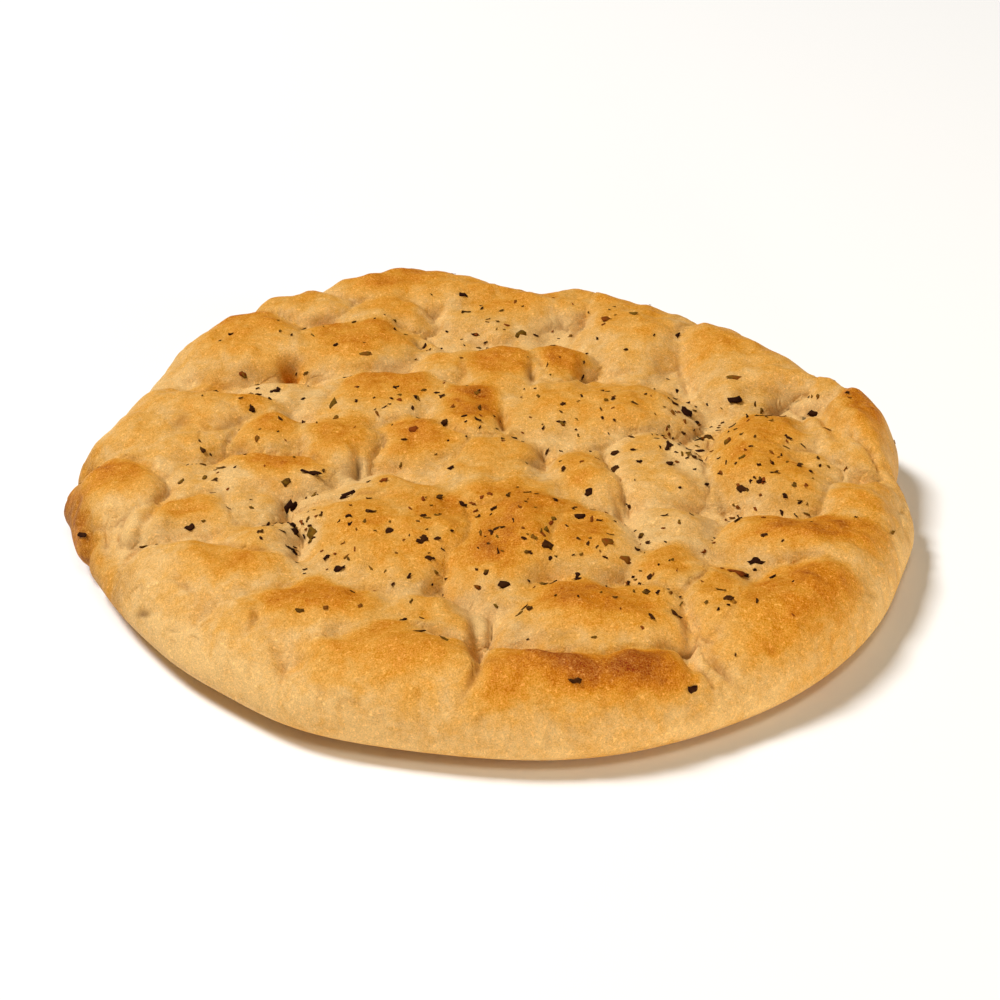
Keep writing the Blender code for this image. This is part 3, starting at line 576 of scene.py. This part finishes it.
def crust_material():
    """Browning from the skin's own values, broken up by noise, under a fine orange-peel grain.

    The grain is mostly light and dark of one hue.  Wrinkles gather along the creases as the
    thin edges of cells in a warped pattern.
    """
    material, tree, shader = new_material("baked_crust")
    uneven = math_node(tree, "ADD", ranged_noise(tree, *PATCHES), ranged_noise(tree, *MOTTLE))
    # the browning value also carries painted shade: the finger pit's dark spot and the darker foot of the
    # edge
    level = math_node(tree, "ADD", own_value(tree, "browning_and_shade"), uneven, clamp=True)
    colour = ramp(tree, level, CRUST_COLOURS)
    burnt = ranged_noise(tree, *SCORCH_DENSITY)
    colour = drawn_towards(tree, colour, SCORCHED, own_value(tree, "scorched"), burnt)
    grain_texture, grain_span = FINE_GRAIN
    grain = noise(tree, *grain_texture)
    colour = lit_up(tree, colour, GRAIN_LIGHT, remap(tree, grain, *grain_span))
    for texture, span in COARSE_GRAINS:
        colour = lit_up(tree, colour, GRAIN_LIGHT, ranged_noise(tree, texture, span))
    broken = ranged_noise(tree, *CREASE_DENSITY)
    # painted shade along the deep creases, in broken lengths
    colour = drawn_towards(tree, colour, CREASE_SHADE, own_value(tree, "crease"), broken)
    # painted shade inside the narrow slits
    colour = drawn_towards(tree, colour, SLIT_SHADE, own_value(tree, "slit"), SLIT_DARKNESS)
    tree.links.new(colour, shader.inputs["Base Color"])
    tree.links.new(ranged_noise(tree, *CRUST_ROUGHNESS), shader.inputs["Roughness"])
    shader.inputs["Specular IOR Level"].default_value = CRUST_SHINE
    folds = math_node(tree, "MULTIPLY", wrinkle_lines(tree), own_value(tree, "wrinkled"))
    broad = math_node(tree, "MULTIPLY", noise(tree, *BROAD_BUMPS), BROAD_RISE)
    height = math_node(tree, "ADD", broad, math_node(tree, "MULTIPLY", grain, GRAIN_RISE))
    height = math_node(tree, "SUBTRACT", height, math_node(tree, "MULTIPLY", folds, WRINKLE_FALL))
    bumped(tree, shader, height, *CRUST_BUMP)
    return material


def new_piece(name, points, faces, material):
    """A smooth shaded mesh object from points in the tables' millimetres."""
    place = (np.asarray(points) - np.array([*PLAN_MIDDLE, 0.0])) * MM
    mesh = bpy.data.meshes.new(name)
    mesh.from_pydata(place.tolist(), [], faces)
    mesh.validate()
    mesh.materials.append(material)
    mesh.shade_smooth()
    piece = bpy.data.objects.new(name, mesh)
    bpy.context.scene.collection.objects.link(piece)
    return piece


def give_values(piece, name, values):
    """Writes one number for each point of the piece, for its material to read."""
    layer = piece.data.attributes.new(name, "FLOAT", "POINT")
    layer.data.foreach_set("value", np.asarray(values, dtype=np.float32).ravel())


UNDER_BROWNING = 0.8          # the resting face is evenly baked
# the underside browns from close to the edge, so the foot of the rolled edge is darker: baked, and partly
# painted shade
UNDER_BROWN_AND_SHADE_REACH = (0.1, 0.7)   # where the underside starts and ends to take it, edge to middle
CREASE_TURN = (0.3, 0.9)      # how far the edge has turned where creases start and end to fade
WRINKLE_BREADTH = 3.0         # difference in height beyond which no wrinkles gather

top_x, top_y, top_z, top_turned = top_skin()
rim = rim_numbers()
rim_bearing = np.arctan2(top_y.ravel()[rim], top_x.ravel()[rim])
low_x, low_y, low_z = under_skin(rim_bearing)
top_points = np.stack([top_x, top_y, top_z], axis=-1).reshape(-1, 3)
low_points = np.stack([low_x, low_y, low_z], axis=-1).reshape(-1, 3)
crust_points = np.concatenate([top_points, low_points, np.zeros((1, 3))])
crust = new_piece("crust", crust_points, crust_quads(rim), crust_material())

ring_share = np.linspace(0.0, 1.0, low_x.shape[0])[:, None]
browning_and_shade = top_browning_and_shade(top_x, top_y, top_turned).ravel()
# partly painted shade: the foot of the edge darkens where the underside's browning begins
under_share = smooth_step(*UNDER_BROWN_AND_SHADE_REACH, ring_share)
low_brown_and_shade = browning_and_shade[rim] + (UNDER_BROWNING - browning_and_shade[rim]) * under_share
give_values(crust, "browning_and_shade", np.concatenate([browning_and_shade, low_brown_and_shade.ravel(), [UNDER_BROWNING]]))
scorched = rim_scorching(top_x, top_y, top_turned).ravel()
low_scorched = scorched[rim] * (1.0 - ring_share)
give_values(crust, "scorched", np.concatenate([scorched, low_scorched.ravel(), [0.0]]))
deep = crease_depth(top_x, top_y) * (1.0 - smooth_step(*CREASE_TURN, top_turned))
top_values = {
    "crease": deep * crease_line(top_x, top_y, CREASE_BREADTH),
    "wrinkled": deep * crease_line(top_x, top_y, WRINKLE_BREADTH),
    "slit": slit_shade(top_x, top_y),
}
for name, values in top_values.items():
    give_values(crust, name, np.concatenate([values.ravel(), np.zeros(low_x.size + 1)]))
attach(crust, "root")
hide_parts("focaccia")

# ---------------------------------------------------------------------------------------------
# The herbs: dried leaf broken into flakes, strewn on the oiled dough before baking.  The oven
# curls them, chars the thin ones nearly black and leaves a few olive or red-brown.
# ---------------------------------------------------------------------------------------------
# larger flakes: x, y, length, width, turn (deg), tone (0 charred, 0.5 olive, 1 red-brown)
FLAKES = [
    (-56, -23, 8.0, 4.0, 70, 0.0), (-51, -16, 7.0, 2.2, -20, 0.0), (-41, -25, 7.0, 2.4, 0, 0.0),
    (-49, -44, 6.0, 2.8, 75, 0.6), (-54, -50, 4.0, 2.6, 20, 0.0), (-83, -40, 3.2, 2.8, 0, 0.1),
    (-95, -45, 3.8, 2.6, 60, 0.5), (-77, -11, 3.2, 2.2, 0, 0.5), (-84, 43, 4.0, 2.4, -10, 0.2),
    (-47, 25, 4.6, 2.2, 80, 0.5), (-115, -2, 3.4, 2.6, 0, 0.3), (-40, -64, 3.6, 2.4, -20, 0.0),
    (-39, 56, 4.2, 2.2, 0, 0.7), (-8, 88, 3.4, 2.8, 20, 0.0), (-9, 97, 3.2, 2.6, 0, 0.0),
    (-21, 68, 3.6, 2.4, 60, 0.1), (-27, -49, 3.2, 2.4, 10, 0.2), (-18, -54, 3.6, 2.2, 20, 0.2),
    (-16, -60, 3.2, 2.4, 30, 0.2), (9, 77, 5.0, 3.0, 10, 0.6), (16, -56, 4.8, 3.2, 20, 0.3),
    (32, -54, 3.8, 3.0, 0, 0.8), (37, -59, 3.6, 2.4, -20, 0.8), (4, -71, 3.2, 2.4, 0, 0.2),
    (-18, -94, 4.0, 2.2, -20, 0.2), (-11, -97, 3.4, 2.2, -10, 0.6), (28, -25, 3.6, 2.4, 70, 0.1),
    (25, -41, 3.4, 2.2, 0, 0.1), (75, 41, 5.6, 2.4, -5, 0.8), (74, 31, 5.0, 3.6, 20, 0.0),
    (59, 26, 5.0, 3.0, -50, 0.0), (62, 16, 3.4, 2.4, 0, 0.0), (52, 1, 4.0, 2.4, 80, 0.1),
    (52, -8, 3.6, 2.4, 60, 0.2), (36, -11, 3.8, 2.8, 50, 0.3), (37, 0, 3.6, 2.6, 0, 0.2),
    (72, -21, 4.4, 2.6, -30, 0.3), (69, -39, 3.4, 2.2, 60, 0.2), (73, -56, 5.2, 2.6, 5, 0.0),
    (67, -62, 5.0, 4.0, 0, 1.0), (63, -80, 3.4, 2.4, 0, 0.3), (49, -84, 4.4, 2.4, -20, 0.3),
    (110, -54, 3.8, 2.4, 70, 0.6), (-8, -119, 4.2, 3.0, 60, 0.9), (52, -106, 3.2, 2.4, 0, 0.1),
    (81, -18, 3.2, 2.4, 30, 0.3), (89, -12, 3.2, 2.4, 60, 0.3), (98, 30, 3.4, 2.6, 0, 0.1),
    (100, 13, 3.2, 2.4, -60, 0.8), (37, 79, 4.0, 2.8, 10, 0.9), (22, -112, 3.4, 2.2, -15, 0.3),
    (-118, -3, 5.0, 2.4, 15, 0.4), (-115, -30, 4.4, 1.8, -20, 0.1), (-114, -33, 3.8, 2.2, -50, 0.0),
]
# beds where the small flakes lie thickest: x, y, spread, how many
FLAKE_BEDS = [
    (-52, -38, 16, 26), (-76, -10, 18, 20), (-74, 34, 16, 20), (-2, 82, 20, 26), (10, -48, 26, 56),
    (60, 14, 18, 40), (75, -25, 22, 34), (55, -68, 26, 34), (20, 15, 34, 34), (-25, 25, 30, 30),
    (-28, -58, 24, 36), (95, 25, 18, 18), (30, 85, 26, 20), (57, -2, 6, 16), (-52, -40, 7, 14),
    (-58, 62, 24, 14), (35, -60, 30, 30), (85, -15, 22, 20), (0, 5, 110, 170),
]
STREWING_SEED = 7
BED_SPREAD = 0.5              # standard distance from a bed's middle, as a share of its spread
FLAKE_LENGTHS = (0.9, 3.3)    # shortest and longest small flake
LENGTH_DRAW = (1.1, 2.2)      # beta draw between them: most are short
WIDTH_SHARES = (0.3, 0.85)    # range of a small flake's width, as a share of its length
TONE_DRAW = (0.9, 1.15)       # beta draw of its tone: a little to the dark side
CLEAR_RIM = 2.0               # no flake lies within this distance of the outline
TEARING_SEED = 17
FLAKE_CORNERS = 10
FLAKE_THICKNESS = 0.12
FLAKE_LIFT = 0.08             # gap left under the middle of a flake
FLAKE_LEAN = 0.15             # how far flakes lean out of the lie of the crust
CORNER_SHARES = (0.25, 1.0)   # range of how much of its half width the tearing leaves a corner
TIP_SHARES = (0.8, 1.15)      # and of its half length
LEAF_FULLNESS = 1.3           # makes up in width for what is torn off
CORNER_JITTER = 0.07          # unevenness of the corners, as a share of the width
FLAKE_CURL = 0.10             # rise of a flake's ends, as a share of its length
CURL_SHARES = (-0.3, 1.0)     # range of how much of that each flake curls, down or up
FLAKE_TWIST = 0.35            # how far a flake's ends are turned against each other
FLAKE_BUCKLE = 0.03           # unevenness of its height, as a share of the width
SLOPE_STEP = 0.8              # distance over which the lean of the crust is measured


def strewn_flakes():
    """Larger flakes as listed, then small ones drawn around each bed from a fixed seed."""
    rng = np.random.default_rng(STREWING_SEED)
    shortest, longest = FLAKE_LENGTHS
    rows = [np.array(FLAKES)]
    for bed_x, bed_y, spread, how_many in FLAKE_BEDS:
        x = bed_x + rng.normal(0.0, spread * BED_SPREAD, how_many)
        y = bed_y + rng.normal(0.0, spread * BED_SPREAD, how_many)
        length = shortest + (longest - shortest) * rng.beta(*LENGTH_DRAW, how_many)
        width = length * rng.uniform(*WIDTH_SHARES, how_many)
        turn = rng.uniform(0.0, 180.0, how_many)
        tone = rng.beta(*TONE_DRAW, how_many)
        rows.append(np.stack([x, y, length, width, turn, tone], axis=-1))
    rows = np.concatenate(rows)
    outline = lobed(np.arctan2(rows[:, 1], rows[:, 0]), MEAN_RADIUS, OUTLINE_LOBES)
    return rows[np.hypot(rows[:, 0], rows[:, 1]) < outline - CLEAR_RIM]


def slope_along(x, y, step_x, step_y):
    """Rise of the crust from one step before a place to one step after, over their distance."""
    rise = crust_height(x + step_x, y + step_y) - crust_height(x - step_x, y - step_y)
    return rise / (2 * SLOPE_STEP)


def flake_points(rows):
    """Torn bits of leaf lying along the crust: a lower and an upper ring with a middle for each.

    The outline is a leaf's: at an even angle round it, the side is the width times the sine,
    narrowed towards both tips, and each corner is drawn in by a random share.  The rise is the
    curl times the square of how far along the flake a corner lies, plus the twist times how far
    along and how far to the side it lies.
    """
    rng = np.random.default_rng(TEARING_SEED)
    x, y, length, width, turn = rows[:, :5].T
    rise_x = slope_along(x, y, SLOPE_STEP, 0.0)
    rise_y = slope_along(x, y, 0.0, SLOPE_STEP)
    outward = np.stack([-rise_x, -rise_y, np.ones(len(x))], axis=-1)
    outward = outward + rng.normal(0.0, FLAKE_LEAN, outward.shape)
    outward = outward / np.linalg.norm(outward, axis=-1, keepdims=True)
    heading = np.radians(turn)
    along = np.stack([np.cos(heading), np.sin(heading), np.zeros(len(x))], axis=-1)
    along = along - outward * (along * outward).sum(axis=-1, keepdims=True)
    along = along / np.linalg.norm(along, axis=-1, keepdims=True)
    across = np.cross(outward, along)
    long, wide = length[:, None], width[:, None]
    angle = 2 * math.pi * np.arange(FLAKE_CORNERS) / FLAKE_CORNERS
    torn = rng.uniform(*CORNER_SHARES, (len(x), FLAKE_CORNERS)) / 2
    reach = long * np.cos(angle) * rng.uniform(*TIP_SHARES, torn.shape) / 2
    jitter = rng.normal(0.0, CORNER_JITTER, torn.shape)
    side = wide * (np.sin(angle) * torn * LEAF_FULLNESS + jitter)
    curl = rng.uniform(*CURL_SHARES, len(x))[:, None] * FLAKE_CURL
    twist = rng.normal(0.0, FLAKE_TWIST, len(x))[:, None]
    rise = 4 * curl * reach ** 2 / long + twist * reach * side / long
    rise = rise + rng.normal(0.0, FLAKE_BUCKLE, torn.shape) * wide + FLAKE_LIFT
    middle = np.stack([x, y, crust_height(x, y)], axis=-1)
    ring = (middle[:, None, :] + reach[..., None] * along[:, None, :]
            + side[..., None] * across[:, None, :] + rise[..., None] * outward[:, None, :])
    hub = (middle + FLAKE_LIFT * outward)[:, None, :]
    lower = np.concatenate([ring, hub], axis=1)
    upper = lower + FLAKE_THICKNESS * outward[:, None, :]
    return np.concatenate([lower, upper], axis=1)


def flake_faces(how_many):
    """Two fans and a band of quads for each flake."""
    corner = np.arange(FLAKE_CORNERS)
    after = (corner + 1) % FLAKE_CORNERS
    hub = np.full(FLAKE_CORNERS, FLAKE_CORNERS)
    top = FLAKE_CORNERS + 1
    fan_low = np.stack([after, corner, hub], axis=-1)
    fan_high = np.stack([corner + top, after + top, hub + top], axis=-1)
    band = np.stack([corner, after, after + top, corner + top], axis=-1)
    start = (np.arange(how_many) * 2 * top)[:, None, None]
    fans = np.concatenate([fan_low, fan_high])[None] + start
    return fans.reshape(-1, 3).tolist() + (band[None] + start).reshape(-1, 4).tolist()


# colours of the leaf by its tone, from 0 to 1
HERB_COLOURS = [
    (0.0, srgb(40, 17, 7)),         # charred
    (0.35, srgb(66, 36, 12)),       # dark olive
    (0.65, srgb(116, 84, 20)),      # olive
    (0.9, srgb(126, 60, 16)),       # red-brown
]
WORN = (700.0, 2.0, 0.6), (0.35, 0.65, -0.12, 0.12)   # patches of lighter and darker tone
LEAF_ROUGHNESS = 0.9
LEAF_SHINE = 0.05             # specular level: dry and dull
LEAF_VEINS = (1500.0, 2.0, 0.6)
LEAF_BUMP = (0.6, 0.0003)     # strength, and rise in metres


def herb_material():
    """Dry leaf: charred to red-brown by its own tone, with lighter worn patches."""
    material, tree, shader = new_material("dried_herb")
    tone = math_node(tree, "ADD", own_value(tree, "tone"), ranged_noise(tree, *WORN), clamp=True)
    tree.links.new(ramp(tree, tone, HERB_COLOURS), shader.inputs["Base Color"])
    shader.inputs["Roughness"].default_value = LEAF_ROUGHNESS
    shader.inputs["Specular IOR Level"].default_value = LEAF_SHINE
    bumped(tree, shader, noise(tree, *LEAF_VEINS), *LEAF_BUMP)
    return material


flake_rows = strewn_flakes()
herb_points = flake_points(flake_rows)
herbs = new_piece("herbs", herb_points.reshape(-1, 3), flake_faces(len(flake_rows)), herb_material())
give_values(herbs, "tone", np.repeat(flake_rows[:, 5], herb_points.shape[1]))
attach(herbs, "root")

# ---------------------------------------------------------------------------------------------
# The floor: a sheet of matt white card that the bread lies on, wide enough to fill the picture.
# It is cut square and lies flat.
# ---------------------------------------------------------------------------------------------
FLOOR_HALF = 6.0              # half its width, in metres
FLOOR_WHITE = (0.92, 0.925, 0.93, 1.0)
FLOOR_ROUGHNESS = 0.9

floor_corners = [(x * FLOOR_HALF, y * FLOOR_HALF, 0.0) for x, y in ((-1, -1), (1, -1), (1, 1), (-1, 1))]
floor_mesh = bpy.data.meshes.new("floor")
floor_mesh.from_pydata(floor_corners, [], [(0, 1, 2, 3)])
floor_material, _, floor_shader = new_material("white_sweep")
floor_shader.inputs["Base Color"].default_value = FLOOR_WHITE
floor_shader.inputs["Roughness"].default_value = FLOOR_ROUGHNESS
floor_mesh.materials.append(floor_material)
floor = bpy.data.objects.new("floor", floor_mesh)
bpy.context.scene.collection.objects.link(floor)

# ---------------------------------------------------------------------------------------------
# Light and camera: a broad white lamp high at the left, a little behind, gives the shadows, and
# small warm ones overhead, low in front and low at the right fill them, with a faint warm glow
# all round.  The camera looks down from the front through a long lens.
# ---------------------------------------------------------------------------------------------
# lamps: name, place (m), side of the square (m), power (W), colour
LAMPS = [
    ("key_lamp", (-1.63, 0.60, 2.68), 0.80, 105.0, (1.0, 1.0, 1.0)),
    ("overhead_lamp", (0.10, -0.80, 1.60), 0.50, 7.5, (1.0, 0.88, 0.70)),
    ("front_fill", (0.35, -1.57, 0.14), 0.26, 10.0, (1.0, 0.88, 0.68)),
    ("right_fill", (1.55, -0.40, 0.26), 0.40, 9.0, (1.0, 0.88, 0.62)),
]
GLOW_COLOUR = (1.0, 0.80, 0.60, 1.0)
GLOW_STRENGTH = 0.04
AIM = (0.0033, -0.0095, 0.012)   # the place in the middle of the picture (m)
CAMERA_DISTANCE = 0.690       # from that place (m)
CAMERA_ELEVATION = 32.0       # above the floor (deg)
LENS = 85.0                   # focal length (mm)
SENSOR = 36.0                 # width of the sensor (mm)


def soft_lamp(name, place, side, power, colour):
    """Square area lamp aimed at the bread."""
    data = bpy.data.lights.new(name, "AREA")
    data.size = side
    data.energy = power
    data.color = colour
    lamp = bpy.data.objects.new(name, data)
    lamp.location = place
    lamp.rotation_euler = (-Vector(place)).to_track_quat("-Z", "Y").to_euler()
    bpy.context.scene.collection.objects.link(lamp)


for row in LAMPS:
    soft_lamp(*row)
world = bpy.data.worlds.new("studio")
world.use_nodes = True
glow = world.node_tree.nodes["Background"]
glow.inputs["Color"].default_value = GLOW_COLOUR
glow.inputs["Strength"].default_value = GLOW_STRENGTH
bpy.context.scene.world = world

lift = math.radians(CAMERA_ELEVATION)
camera_data = bpy.data.cameras.new("camera")
camera_data.lens = LENS
camera_data.sensor_width = SENSOR
camera = bpy.data.objects.new("camera", camera_data)
camera.location = (AIM[0], AIM[1] - CAMERA_DISTANCE * math.cos(lift),
                   AIM[2] + CAMERA_DISTANCE * math.sin(lift))
camera.rotation_euler = (math.pi / 2 - lift, 0.0, 0.0)
bpy.context.scene.collection.objects.link(camera)
bpy.context.scene.camera = camera
bpy.context.scene.view_settings.view_transform = "Standard"
